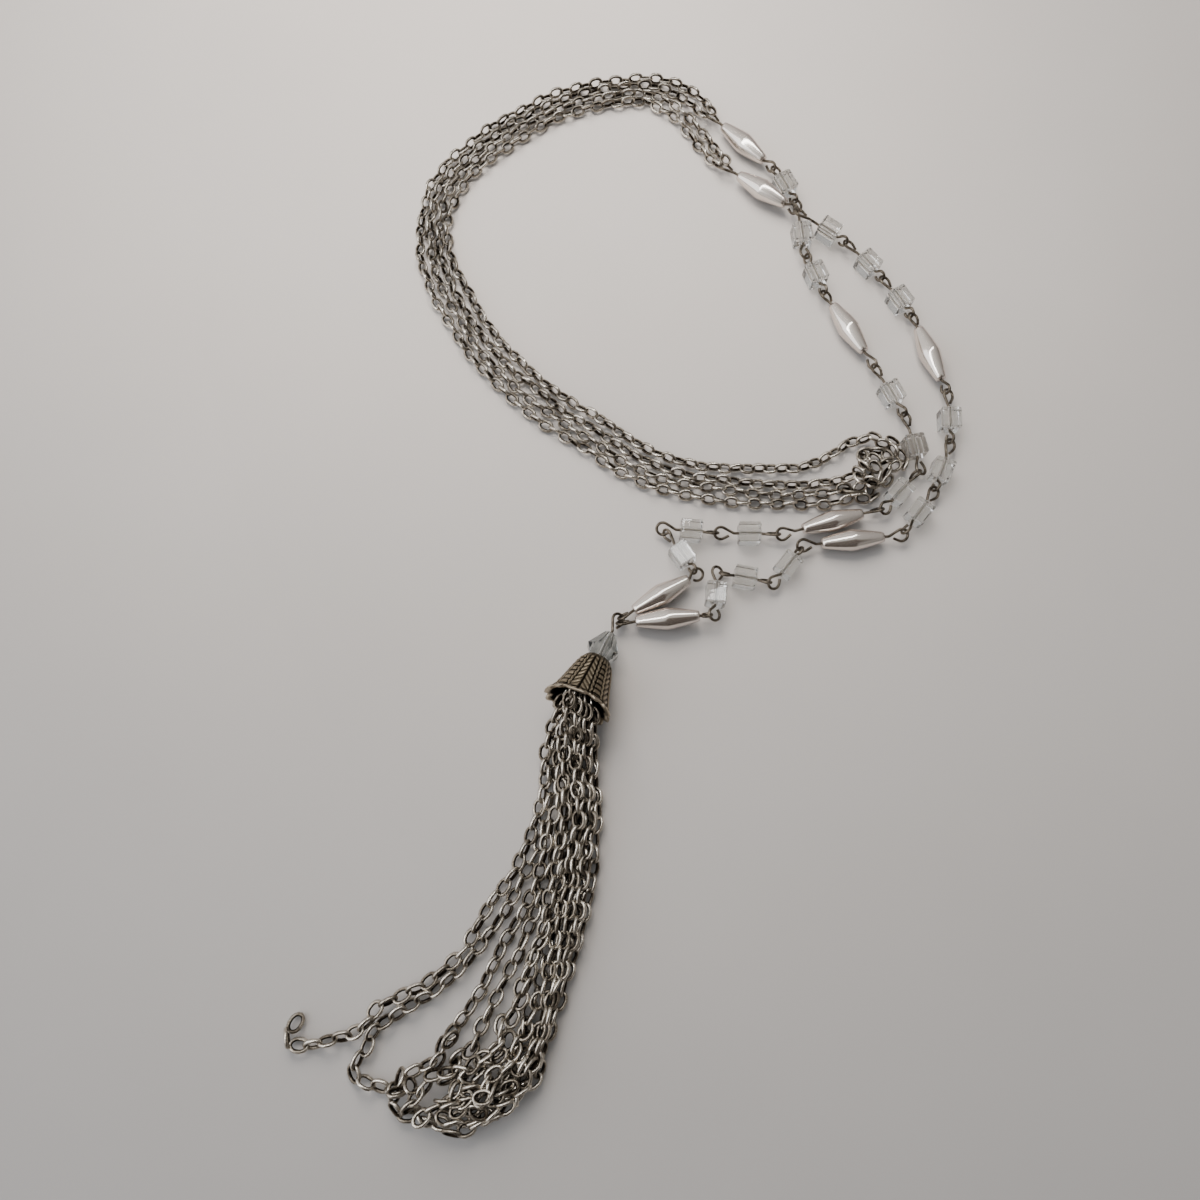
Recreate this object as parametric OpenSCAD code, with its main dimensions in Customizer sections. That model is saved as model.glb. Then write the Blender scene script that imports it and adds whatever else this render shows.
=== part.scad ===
// Tassel necklace, laid flat with its two neck chains doubled over.
// Millimetres, +Z up, resting on z = 0, origin under the middle of the whole piece.
// The lengths below set the beads and wires, and the Hidden section holds how the necklace lies.

/* [Spindle pearls] */
// Length of a pearl along its hole
pearl_len = 17.4; // [16.6:0.1:17.5]
// Thickness of a pearl at its middle
pearl_dia = 6.2; // [5.6:0.1:6.2]
// Width of the flat cut at each end of a pearl
pearl_tip_dia = 2.9; // [2.4:0.1:3.2]

/* [Clear cube beads] */
// Length of a cube bead along its hole
cube_len = 6.2; // [5.6:0.1:6.2]
// Width of a cube bead across its hole
cube_w = 5.5; // [5:0.1:5.5]
// Narrow bevel along every edge of a cube bead
cube_bevel = 0.35; // [0.2:0.05:0.6]

/* [Eye pins] */
// Thickness of the wire that the pins are bent from
wire_dia = 0.8; // [0.7:0.05:0.9]
// Middle radius of an eye that lies flat
flat_eye_r = 1.7; // [1.6:0.05:1.8]
// Middle radius of an eye that stands upright
upright_eye_r = 1.4; // [1.35:0.05:1.5]
// Diameter of the hole through every bead
hole_dia = 1.3; // [1.2:0.05:1.5]

/* [Chains] */
// Thickness of one run of neck chain
neck_chain_dia = 2.5; // [2.3:0.1:2.5]
// Thickness of one chain of the tassel
tassel_chain_dia = 3; // [2.8:0.1:3.2]

/* [Tassel cap] */
// Height of the cast bell cap
cap_h = 14.5; // [14:0.5:15]
// Radius of the cap at its scalloped rim
cap_rim_r = 9; // [8.6:0.1:9]
// Radius of the cap at its shoulder
cap_top_r = 4.3; // [4.2:0.1:4.5]
// Thickness of the cast wall
cap_wall = 1; // [0.9:0.1:1.2]
// Height of the raised relief
relief_h = 0.35; // [0.2:0.05:0.5]
// Number of leaf panels round the cap, with a ladder panel after each
leaves = 5; // [4:1:6]
// Angle that one leaf panel takes, in degrees
leaf_angle = 46; // [44:1:48]

/* [Tassel bead] */
// Width of the faceted bicone bead
bicone_dia = 9.4; // [9:0.2:9.6]
// Length of the bicone bead along its hole
bicone_len = 10.4; // [9.6:0.2:10.4]
// Number of facets round the bicone bead
bicone_facets = 8; // [8:1:10]

/* [Hidden] */

fit_gap = 0.2;                // clearance between two linked wires
eye_steps = 10;               // straight pieces round one eye
wire_sides = 6;
chain_sides = 8;
longest_eye = 3.6;            // furthest that an eye's neck lies from its middle
pearl_units = [0, 4, 8, 12];  // places of the pearls along a strand of thirteen beads
cube_units = [1, 2, 3, 5, 6, 7, 9, 10, 11];

// The cap leans down from its rim to its top. Its pin leans less, and carries the bicone and the eye
function leaning(turn, lean) = [cos(lean) * cos(turn), cos(lean) * sin(turn), -sin(lean)];
tassel_rim = [-18.7, -50.8, 9.8];
tassel_turn = 67;
tassel_lean = 17.5;
tassel_dir = leaning(tassel_turn, tassel_lean);
cap_top = tassel_rim + cap_h * tassel_dir;
pin_turn = 64.5;
pin_lean = 12;
pin_dir = leaning(pin_turn, pin_lean);
bicone_at = 3;                // middle of the bicone, up from the cap's top
tassel_eye_at = 13.1;         // middle of the pin's upper eye, up from the cap's top
low_eye_at = 6.8;             // start of the pin, down from the cap's top
tassel_eye = cap_top + tassel_eye_at * pin_dir;

// One row for each place where two pins are linked.
// Columns: x, y, z, owner of the flat eye (0 the pin that ends there, 1 the pin that starts there),
// and the distance from there to the middle of the bead on the pin that starts there
JX = 0;
JY = 1;
JZ = 2;
FLAT = 3;
BEAD_AT = 4;
links_a = [
    [tassel_eye.x - 0.5, tassel_eye.y - 0.2, tassel_eye.z + 0.15, 0, 14.2],
    [13.9, -14, 3.5, 0, 7],
    [4.8, -0.5, 2.75, 1, 7.9],
    [20.9, -1.8, 2.75, 1, 7.9],
    [38, -2.2, 3.1, 1, 14.6],
    [67.2, 5.5, 3.1, 1, 6.3],
    [78.2, 17.4, 2.75, 1, 6.8],
    [75.3, 33, 2.75, 0, 8.4],
    [67.8, 48.2, 3.1, 0, 15.2],
    [54.6, 72.4, 3.1, 0, 7.6],
    [49.2, 87, 2.75, 1, 6.4],
    [47.7, 104, 2.75, 0, 7.7],
    [41.8, 115.8, 3.1, 0, 14],
    [22.5, 135.8, 3.1, 0, 0]
];
links_b = [
    [tassel_eye.x - 1.1, tassel_eye.y - 1.1, tassel_eye.z + 0.15, 0, 14.5],
    [18.2, -25.4, 4.4, 1, 5.9],
    [19.6, -13.2, 2.75, 0, 7.7],
    [35, -16.1, 2.75, 1, 6.5],
    [43.6, -5.5, 3.1, 1, 13.8],
    [71.1, -2.5, 3.1, 0, 8.7],
    [81.2, 10.1, 2.75, 0, 7.2],
    [87.2, 24.5, 2.75, 0, 7.8],
    [88, 40, 3.1, 0, 13.9],
    [80, 64.9, 3.1, 0, 7.1],
    [72.6, 77.6, 2.75, 0, 7.3],
    [62.6, 89.7, 3.1, 0, 7.5],
    [47.8, 100, 4.4, 0, 13.8],
    [26, 117.2, 3.1, 0, 0]
];

// Middle of the bundle of four runs of neck chain. Columns: x, y, distance between runs
bundle = [
    [0.5, 147.2, 2.8], [-10, 146, 2.8], [-21, 143.2, 2.8], [-31, 138.8, 2.8], [-40, 132.8, 2.9],
    [-49, 125.2, 2.8], [-56.4, 117.6, 2.8], [-61.2, 109, 2.8], [-63.6, 98, 2.8], [-62.4, 86.5, 3],
    [-58.2, 75.5, 3.2], [-52.4, 64.5, 3.1], [-46, 55, 3.2], [-38.6, 46.6, 3.3], [-30.6, 39.4, 3.3],
    [-22, 33, 3.3], [-13, 27, 3.3], [-4, 20.6, 3.3], [5, 16.4, 3.3], [14.4, 13.9, 3.2]
];
chain_z = neck_chain_dia / 2;

// Free ends of the runs, from the top pearls to the bundle. Columns: x, y, z
outer_start = [[22.5, 138.4, 2.8], [20.6, 142, 1.6], [16.8, 145.8, chain_z], [12, 149, chain_z],
               [7, 151, chain_z]];
second_start = [[19.8, 136.9, 2.8], [17.4, 139.9, 1.6], [14.6, 143.2, chain_z], [10.6, 145.9, chain_z],
                [6, 147.9, chain_z]];
third_start = [[26.1, 119.8, 2.8], [24.4, 123.4, 1.6], [20.8, 129, chain_z], [17.2, 134.2, chain_z],
               [13.4, 139.2, chain_z], [9.2, 142.8, chain_z], [5.6, 144.8, chain_z]];
inner_start = [[23.5, 118.5, 2.8], [21.4, 121.4, 1.6], [18.4, 125.8, chain_z], [15.4, 130.8, chain_z],
               [12.2, 135.6, chain_z], [8.6, 139, chain_z], [4.4, 141.2, chain_z]];

// Where the doubled chains fold back, beside the beads. Columns: x, y, z
outer_fold = [[23, 8, chain_z], [32, 7, chain_z], [41, 6.9, chain_z], [48.6, 7, chain_z],
              [53.4, 7.7, chain_z], [57.4, 8.7, chain_z], [60.8, 9, chain_z], [63.6, 10, chain_z],
              [65.2, 12.4, chain_z], [66.8, 15, chain_z], [69.2, 16.9, chain_z], [71, 18.8, chain_z],
              [71.2, 21.6, chain_z], [69.8, 24.2, chain_z], [66.8, 25.8, chain_z], [62.6, 25.8, chain_z],
              [58.4, 24.6, chain_z], [53.8, 22, chain_z], [48.6, 19.6, chain_z], [43.4, 18, chain_z],
              [34, 17.7, chain_z], [24, 17.8, chain_z]];
inner_fold = [[22, 11.4, chain_z], [30, 10.2, chain_z], [38, 9.8, chain_z], [46, 9.9, chain_z],
              [51, 10.6, chain_z], [55.4, 11.6, chain_z], [59, 12.1, chain_z], [61.8, 13.4, chain_z],
              [62.9, 15.9, chain_z], [61.8, 18.4, chain_z], [61.6, 21.1, chain_z], [64, 22.9, chain_z],
              [66.9, 22.2, 1.8], [68.4, 20, 3.2], [67.2, 17.8, 4.1], [64.6, 17.5, 4.2],
              [62, 17.2, 4.3], [59.4, 16.8, 3.1], [56.6, 15.4, 1.5], [52.6, 13.9, chain_z],
              [46, 12.9, chain_z], [38, 12.8, chain_z], [30, 13.2, chain_z], [22, 14.6, chain_z]];

// Chains of the tassel. Each row: sideways and upward place in the mouth of the cap, then the
// points where the chain lies. Columns of a point: x, y, z
low = tassel_chain_dia / 2;   // on the table
mid = 4.2;                    // on other chains
top = 6.6;                    // on the pile
MOUTH = 0;
ROUTE = 1;
locks = [
    [[-4.6, -0.6], [[-27, -62, 3.4], [-27.8, -73, low], [-30.2, -83, low], [-36, -94, low], [-42, -103, low],
        [-47.4, -111, low], [-54, -117.4, 2.4], [-61, -120.8, 3], [-67, -124, 3], [-71, -128.6, 3.4],
        [-76, -131, low], [-82, -132, low], [-86.6, -132.4, low], [-89.4, -130, low]]],
    [[-3.4, -3.2], [[-25, -62, 2.2], [-25.6, -73, low], [-28, -84, low], [-32.6, -95, low], [-38.6, -104, low],
        [-45, -112.4, low], [-52, -119, low], [-59, -123.6, low], [-65.4, -127, low], [-69, -130, low],
        [-69.4, -134, low], [-72.4, -138.6, low], [-68.6, -141.2, low], [-62, -142.2, low]]],
    [[-2, 0.6], [[-23.4, -62, 5], [-23.4, -72, mid], [-25, -82, mid], [-28.4, -93, 3], [-33, -102.6, low],
        [-38, -112, low], [-43, -121, low], [-49, -130, low], [-54, -136, low], [-59, -139.6, 3.2],
        [-60.4, -142.6, mid]]],
    [[-0.6, -4.4], [[-21.4, -62, low], [-22.2, -76, low], [-24.4, -88, low], [-28.4, -101, low],
        [-33, -111.6, low], [-38, -121, low], [-43.2, -131, low], [-48.6, -137.4, 2.6], [-54, -141.6, mid],
        [-57.4, -145, mid]]],
    [[0.4, -1.4], [[-19.6, -62, 4.4], [-19.6, -78, mid], [-21.8, -92, mid], [-25.4, -104, 3.6], [-29, -113, mid],
        [-32, -121, mid], [-36.6, -128, 3.6], [-39.6, -134, mid], [-44, -138, mid], [-50.4, -140, mid]]],
    [[1.8, -4.2], [[-18.6, -62, low], [-18.8, -78, low], [-21, -92, low], [-24.6, -107, low], [-28, -118.6, low],
        [-31.4, -128, low], [-34, -136, low], [-39, -142.4, low], [-46, -145.6, low]]],
    [[2.6, 1], [[-16.4, -62, 5.2], [-17, -78, mid], [-19.6, -95, mid], [-22.4, -111, mid], [-26, -123, mid],
        [-29.6, -133, mid], [-34.6, -140.6, mid], [-40.6, -141.6, top], [-46, -144.4, top]]],
    [[4, -3.2], [[-15, -62, low], [-15, -78, low], [-17.4, -92, low], [-20.8, -108, low], [-24.2, -120, low],
        [-27.8, -131, low], [-32, -140, low], [-37.6, -146.4, low], [-46, -149, low]]],
    [[5, -0.8], [[-14.4, -62, 3.4], [-13.4, -77, low], [-14.4, -92, low], [-17.2, -106, low],
        [-20.8, -118, low], [-24.4, -129, low], [-29, -138.4, low], [-34.6, -145, 2.6], [-41, -150.2, low],
        [-48, -151.3, low], [-54, -150.6, low], [-58.4, -147, low], [-61.4, -143, low]]],
    [[-0.4, 2.4], [[-19, -63, 6.2], [-18.4, -78, top], [-20.6, -94, mid], [-24, -110, mid], [-28, -122, mid],
        [-32, -131, mid], [-36.4, -137.4, 5.4], [-42.4, -142.4, top], [-49, -145.6, mid]]],
    [[1.2, 0.8], [[-17.6, -63, 4.4], [-14.6, -78, mid], [-16.8, -94, mid], [-20, -109, mid], [-24, -122, mid],
        [-28, -133.6, mid], [-33, -142, mid], [-40.4, -147, mid], [-50, -148.4, mid]]],
    [[-2.6, 3], [[-21.8, -63, 6], [-21.4, -78, 5.6], [-23.6, -92, mid], [-26.8, -105, mid], [-30.6, -116, mid],
        [-34.4, -126, mid], [-38.6, -133.4, mid], [-45, -140.6, mid], [-53, -146.2, mid]]]
];

function unit(v) = v / norm(v);
function reversed(v) = [for (i = [len(v) - 1:-1:0]) v[i]];
function tangent(p, i) = unit(p[min(i + 1, len(p) - 1)] - p[max(i - 1, 0)]);

// Side vectors of a route that never runs straight up
function sides_of(p) = [for (i = [0:len(p) - 1]) unit(cross(tangent(p, i), [0, 0, 1]))];

// Tube of flat faces along the points p. Each ring starts at its side vector, turned by its phase
module sweep(p, side, phase, r, n) {
    rings = len(p);
    points = [for (i = [0:rings - 1]) let (t = tangent(p, i), s = side[i], u = cross(s, t))
              for (k = [0:n - 1]) let (a = phase[i] + 360 * k / n) p[i] + r * (cos(a) * s + sin(a) * u)];
    walls = [for (i = [0:rings - 2]) for (k = [0:n - 1])
             let (a = i * n + k, b = i * n + (k + 1) % n, c = a + n, d = b + n)
             each [[a, b, d], [a, d, c]]];
    first_cap = [for (k = [n - 1:-1:0]) k];
    last_cap = [for (k = [0:n - 1]) (rings - 1) * n + k];
    polyhedron(points, concat([first_cap], walls, [last_cap]), convexity = 6);
}

module chain_tube(p, dia) {
    sweep(p, sides_of(p), [for (q = p) 0], dia / 2, chain_sides);
}

// Open eye in its own plane, from its neck at [-reach, 0] round to its free end
function eye(r, reach) =
    let (a0 = 180 - acos(r / reach),
         a1 = min(a0, 180 - asin((wire_dia + fit_gap) / r)),
         side = r * sin(a0),
         stop = 1 - (wire_dia + 2 * fit_gap) * r / (2 * side * side),
         leave = [r * cos(a0), -side])
    concat([[-reach, 0]],
           [for (k = [0:eye_steps]) let (a = a0 - (a0 + a1) * k / eye_steps) [r * cos(a), r * sin(a)]],
           stop > 0.1 && a1 == a0 ? [leave + stop * ([-reach, 0] - leave)] : []);

// A pin from one link to the next, as rows of [point, side vector, phase]
function eye_offset(flat) = flat ? 0 : flat_eye_r - wire_dia - fit_gap + upright_eye_r;
function eye_radius(flat) = flat ? flat_eye_r : upright_eye_r;
function pin_eye(middle, out, across, up, flat, room) =
    let (reach = max(1.1 * eye_radius(flat), min(longest_eye, room)))
    [for (q = eye(eye_radius(flat), reach))
     [middle + q.x * out + q.y * (flat ? across : up), flat ? up : across, flat ? 0 : -90]];
function pin_rows(from, to, flat_from, flat_to, bead_at, bead_len) =
    let (b = unit(to - from),
         across = unit(cross([0, 0, 1], b)),
         up = cross(b, across),
         room_from = bead_at - bead_len / 2 - 0.3 - eye_offset(flat_from),
         room_to = norm(to - from) - bead_at - bead_len / 2 - 0.3 - eye_offset(flat_to))
    concat(reversed(pin_eye(from + eye_offset(flat_from) * b, -b, across, up, flat_from, room_from)),
           pin_eye(to - eye_offset(flat_to) * b, b, across, up, flat_to, room_to));

module wire(rows) {
    sweep([for (q = rows) q[0]], [for (q = rows) q[1]], [for (q = rows) q[2]], wire_dia / 2, wire_sides);
}

function place(row) = [row[JX], row[JY], row[JZ]];
function is_pearl(unit_no) = len(search(unit_no, pearl_units)) > 0;
function bead_len(unit_no) = is_pearl(unit_no) ? pearl_len : cube_len;

// Moves a bead that is built along X at the origin to its place on a pin
module on_pin(links, unit_no) {
    from = place(links[unit_no]);
    b = unit(place(links[unit_no + 1]) - from);
    at = from + links[unit_no][BEAD_AT] * b;
    translate(at) rotate([0, -asin(b.z), atan2(b.y, b.x)]) children();
}

module pins(links) {
    color("#8f877b")
    for (i = [0:len(links) - 2])
        wire(pin_rows(place(links[i]), place(links[i + 1]), links[i][FLAT] == 1, links[i + 1][FLAT] == 0,
                      links[i][BEAD_AT], bead_len(i)));
}

// Radius of a pearl at t, from 0 at its middle to 1 at its tip
function pearl_r(t) = pearl_tip_dia / 2 + (pearl_dia - pearl_tip_dia) / 2 * (1 - pow(t, 1.5));

module pearl(links, unit_no) {
    steps = 7;
    outline = concat([[0, -pearl_len / 2]],
                     [for (k = [-steps:steps]) [pearl_r(abs(k) / steps), pearl_len / 2 * k / steps]],
                     [[0, pearl_len / 2]]);
    color("#ece6df")
    on_pin(links, unit_no)
    difference() {
        rotate([0, 90, 0]) rotate_extrude($fn = 48) polygon(outline);
        rotate([0, 90, 0]) cylinder(d = hole_dia, h = pearl_len + 2, center = true, $fn = 24);
    }
}

module cube_bead(links, unit_no) {
    bevel_cut = sqrt(2) * (cube_w - cube_bevel);
    bevel_long = (cube_len + cube_w - 2 * cube_bevel) / sqrt(2);
    color("#dfe6e6", 0.6)
    on_pin(links, unit_no)
    difference() {
        intersection() {
            cube([cube_len, cube_w, cube_w], center = true);
            rotate([45, 0, 0]) cube([cube_len + 1, bevel_cut, bevel_cut], center = true);
            rotate([0, 45, 0]) cube([bevel_long, cube_w + 1, bevel_long], center = true);
            rotate([0, 0, 45]) cube([bevel_long, bevel_long, cube_w + 1], center = true);
        }
        rotate([0, 90, 0]) cylinder(d = hole_dia, h = cube_len + 2, center = true, $fn = 24);
    }
}

// Stands a piece that is built along Z, with the cap's rim at z = 0, on the cap's axis
module on_tassel() {
    translate(tassel_rim) rotate([0, 90 + tassel_lean, tassel_turn]) children();
}

// The same on the axis of the cap's pin, with the cap's top at z = 0
module on_tassel_pin() {
    translate(cap_top) rotate([0, 90 + pin_lean, pin_turn]) children();
}

module tassel_bead() {
    half = bicone_len / 2;
    color("#c3cacc", 0.6)
    on_tassel_pin() translate([0, 0, bicone_at]) rotate([0, 0, 180 / bicone_facets])
    difference() {
        union() {
            for (side = [0, 180])
                rotate([side, 0, 0]) cylinder(h = half, r1 = bicone_dia / 2, r2 = 1.1, $fn = bicone_facets);
        }
        cylinder(d = hole_dia, h = bicone_len + 2, center = true, $fn = 24);
    }
}

// Outer radius of the cap at height h: a straight bell with a rounded shoulder and a flared rim
function cap_r(h) =
    let (t = h / cap_h)
    cap_top_r + (cap_rim_r - 0.9 - cap_top_r) * (1 - t) + 0.9 * pow(1 - t, 6) - 0.8 * pow(t, 10);
function cap_outline(extra, from, to, steps) =
    [for (k = [0:steps]) let (h = from + (to - from) * k / steps) [cap_r(h) + extra, h]];
function cap_inside(steps) =
    [for (k = [steps:-1:0]) let (h = (cap_h - 1.4) * k / steps) [cap_r(h) - cap_wall, h]];

// Strip of relief between two heights, as wide as the angle says
module cap_strip(turn, angle, from, to, steps) {
    rotate([0, 0, turn - angle / 2])
        rotate_extrude(angle = angle, $fn = 48)
            polygon(concat(cap_outline(relief_h, from, to, steps), reversed(cap_outline(-0.4, from, to, steps))));
}

module tassel_cap() {
    pitch = 360 / leaves;
    first = 6.5;
    rungs = 7;
    edges = [for (i = [0:leaves - 1]) each [first + i * pitch, first + i * pitch + leaf_angle]];
    color("#7d6c54")
    on_tassel()
    difference() {
        union() {
            rotate_extrude($fn = 64) polygon(concat([[0, cap_h - 1.4]], [[0, cap_h]],
                reversed(cap_outline(0, 0, cap_h, 10)), reversed(cap_inside(6))));
            for (edge = edges)
                cap_strip(edge, 4, 0.3, cap_h - 0.6, 5);
            for (i = [0:leaves - 1]) {
                cap_strip(first + i * pitch + leaf_angle / 2, 3, 0.8, cap_h - 1.4, 4);
                for (k = [0:rungs - 1])
                    cap_strip(first + i * pitch + (leaf_angle + pitch) / 2, pitch - leaf_angle - 8,
                              1.4 + 1.65 * k, 2.2 + 1.65 * k, 1);
            }
        }
        translate([0, 0, cap_h - 2]) cylinder(h = 3, r = 3.05, $fn = 48);
        for (edge = edges)
            rotate([0, 0, edge]) translate([cap_rim_r + 0.6, 0, -1]) cylinder(r = 1.1, h = 5, $fn = 24);
    }
}

// The pin runs from an eye inside the cap, through the bicone, to the eye that holds both strands
module tassel_pin() {
    low_eye = cap_top - low_eye_at * pin_dir;
    color("#8f877b")
    wire(pin_rows(low_eye, tassel_eye, false, true, bicone_at + low_eye_at, bicone_len));
}

// A chain of the tassel: out of the head, through the mouth of the cap, and on along its own route
function lock_route(row) =
    let (across = unit(cross([0, 0, 1], tassel_dir)),
         up = cross(tassel_dir, across),
         spread = row[MOUTH].x * -across + row[MOUTH].y * up)
    concat([tassel_rim + 6 * tassel_dir + 0.34 * spread, tassel_rim + 0.5 * tassel_dir + 0.9 * spread],
           row[ROUTE]);

module tassel_chains() {
    color("#8b8378")
    union() {
        for (row = locks) chain_tube(lock_route(row), tassel_chain_dia);
        on_tassel() translate([0, 0, 3.4]) cylinder(h = 3.8, r1 = 3.6, r2 = 2.2, $fn = 12);
    }
}

// One run of the bundle: 1.5 is the outermost, -1.5 the innermost
function run(k) =
    [for (i = [0:len(bundle) - 1])
     let (p = [bundle[i].x, bundle[i].y, chain_z],
          q = [for (b = bundle) [b.x, b.y, 0]],
          t = tangent(q, i))
     p + k * bundle[i].z * [t.y, -t.x, 0]];

function neck_route_a() = concat(outer_start, run(1.5), outer_fold, reversed(run(-1.5)), reversed(inner_start));
function neck_route_b() = concat(second_start, run(0.5), inner_fold, reversed(run(-0.5)), reversed(third_start));

module neck_chain(route) {
    color("#8b8378") chain_tube(route, neck_chain_dia);
}

tassel_chains();
tassel_cap();
tassel_bead();
tassel_pin();
pins(links_a);  // pins_a
pins(links_b);  // pins_b
neck_chain(neck_route_a());  // neck_chain_a
neck_chain(neck_route_b());  // neck_chain_b
pearl(links_a, pearl_units[0]);  // pearl_a1
pearl(links_a, pearl_units[1]);  // pearl_a2
pearl(links_a, pearl_units[2]);  // pearl_a3
pearl(links_a, pearl_units[3]);  // pearl_a4
pearl(links_b, pearl_units[0]);  // pearl_b1
pearl(links_b, pearl_units[1]);  // pearl_b2
pearl(links_b, pearl_units[2]);  // pearl_b3
pearl(links_b, pearl_units[3]);  // pearl_b4
cube_bead(links_a, cube_units[0]);  // cube_a1
cube_bead(links_a, cube_units[1]);  // cube_a2
cube_bead(links_a, cube_units[2]);  // cube_a3
cube_bead(links_a, cube_units[3]);  // cube_a4
cube_bead(links_a, cube_units[4]);  // cube_a5
cube_bead(links_a, cube_units[5]);  // cube_a6
cube_bead(links_a, cube_units[6]);  // cube_a7
cube_bead(links_a, cube_units[7]);  // cube_a8
cube_bead(links_a, cube_units[8]);  // cube_a9
cube_bead(links_b, cube_units[0]);  // cube_b1
cube_bead(links_b, cube_units[1]);  // cube_b2
cube_bead(links_b, cube_units[2]);  // cube_b3
cube_bead(links_b, cube_units[3]);  // cube_b4
cube_bead(links_b, cube_units[4]);  // cube_b5
cube_bead(links_b, cube_units[5]);  // cube_b6
cube_bead(links_b, cube_units[6]);  // cube_b7
cube_bead(links_b, cube_units[7]);  // cube_b8
cube_bead(links_b, cube_units[8]);  // cube_b9
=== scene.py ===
import math
import random

import bmesh
import bpy
from mathutils import Matrix, Vector


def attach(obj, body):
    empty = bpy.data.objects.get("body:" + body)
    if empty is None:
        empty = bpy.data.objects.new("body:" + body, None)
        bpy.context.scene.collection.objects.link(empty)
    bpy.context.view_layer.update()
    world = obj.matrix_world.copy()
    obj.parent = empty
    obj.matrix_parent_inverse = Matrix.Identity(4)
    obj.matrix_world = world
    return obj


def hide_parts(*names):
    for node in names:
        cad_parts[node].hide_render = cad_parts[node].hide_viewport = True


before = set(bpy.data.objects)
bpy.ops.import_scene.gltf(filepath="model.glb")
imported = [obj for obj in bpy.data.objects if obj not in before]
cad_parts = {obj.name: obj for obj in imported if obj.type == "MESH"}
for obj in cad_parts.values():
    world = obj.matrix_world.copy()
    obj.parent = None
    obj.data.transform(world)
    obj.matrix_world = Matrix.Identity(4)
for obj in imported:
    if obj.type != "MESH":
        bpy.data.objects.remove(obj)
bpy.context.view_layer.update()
mm = 0.001
scene = bpy.context.scene


# The camera comes first, at the angle of the photograph
view = {"place": (-12.7, -80.45, 241.23), "tilt": 14, "lens": 27}  # mm, degrees from straight down, mm

cameraData = bpy.data.cameras.new("camera")
cameraData.lens = view["lens"]
cameraData.sensor_width = 36
cameraData.clip_start = 0.01
camera = bpy.data.objects.new("camera", cameraData)
camera.location = Vector(view["place"]) * mm
camera.rotation_euler = (math.radians(view["tilt"]), 0, 0)
scene.collection.objects.link(camera)
scene.camera = camera


# An sRGB hex colour as linear values
def toLinear(hexColour, alpha=1):
    channels = [int(hexColour[i:i + 2], 16) / 255 for i in (1, 3, 5)]
    return [c / 12.92 if c <= 0.04045 else ((c + 0.055) / 1.055) ** 2.4 for c in channels] + [alpha]


# A node with its settings, its inputs (a value, or a socket to link), and the stops of a colour ramp
def addNode(tree, kind, inputs=None, stops=None, **settings):
    node = tree.nodes.new(kind)
    for name, value in settings.items():
        setattr(node, name, value)
    for name, value in (inputs or {}).items():
        if isinstance(value, bpy.types.NodeSocket):
            tree.links.new(value, node.inputs[name])
        else:
            node.inputs[name].default_value = value
    for k, (place, colour) in enumerate(stops or []):
        stop = node.color_ramp.elements[k] if k < 2 else node.color_ramp.elements.new(place)
        stop.position = place
        stop.color = colour
    return node


def newMaterial(name):
    material = bpy.data.materials.new(name)
    material.use_nodes = True
    tree = material.node_tree
    tree.nodes.clear()
    shader = addNode(tree, "ShaderNodeBsdfPrincipled")
    output = addNode(tree, "ShaderNodeOutputMaterial", {"Surface": shader.outputs["BSDF"]})
    return material, tree, shader, output


# A piece in its place, which stands for one of the solid nodes
def newPiece(name, mesh, node):
    piece = bpy.data.objects.new(name, mesh)
    scene.collection.objects.link(piece)
    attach(piece, "root")
    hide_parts(node)


# Closed loop of (radius, height) points turned round Z; shift moves a point by its angle
def turned(name, loop, sides, shift=None):
    mesh = bmesh.new()
    rings = []
    for row, (radius, height) in enumerate(loop):
        ring = []
        for k in range(sides):
            angle = 2 * math.pi * k / sides
            r, h = shift(row, angle, radius, height) if shift else (radius, height)
            ring.append(mesh.verts.new((r * math.cos(angle) * mm, r * math.sin(angle) * mm, h * mm)))
        rings.append(ring)
    for row in range(len(rings)):
        low, high = rings[row], rings[(row + 1) % len(rings)]
        for k in range(sides):
            mesh.faces.new((low[k], low[(k + 1) % sides], high[(k + 1) % sides], high[k]))
    bmesh.ops.recalc_face_normals(mesh, faces=mesh.faces)
    done = bpy.data.meshes.new(name)
    mesh.to_mesh(done)
    mesh.free()
    return done


def smooth(mesh):
    mesh.polygons.foreach_set("use_smooth", [True] * len(mesh.polygons))


# How the necklace lies, in mm: the rows of the solid part, except that outerFold, innerFold and the first of
# the locks follow the real heaps more closely than a tube can
tassel = {"rim": (-18.7, -50.8, 9.8), "turn": 67, "lean": 17.5, "capHeight": 14.5,
          "pinTurn": 64.5, "pinLean": 12, "beadAt": 3, "eyeAt": 13.1, "lowEyeAt": 6.8}


# The way that a leaning axis points, and the two directions across it
def leaning(turn, lean):
    turn, lean = math.radians(turn), math.radians(lean)
    along = Vector((math.cos(lean) * math.cos(turn), math.cos(lean) * math.sin(turn), -math.sin(lean)))
    across = Vector((0, 0, 1)).cross(along).normalized()
    return along, across, along.cross(across)


tasselRim = Vector(tassel["rim"])
tasselDir, tasselAcross, tasselUp = leaning(tassel["turn"], tassel["lean"])
pinDir, pinAcross, pinUp = leaning(tassel["pinTurn"], tassel["pinLean"])
capTop = tasselRim + tassel["capHeight"] * tasselDir
tasselEye = capTop + tassel["eyeAt"] * pinDir

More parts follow.
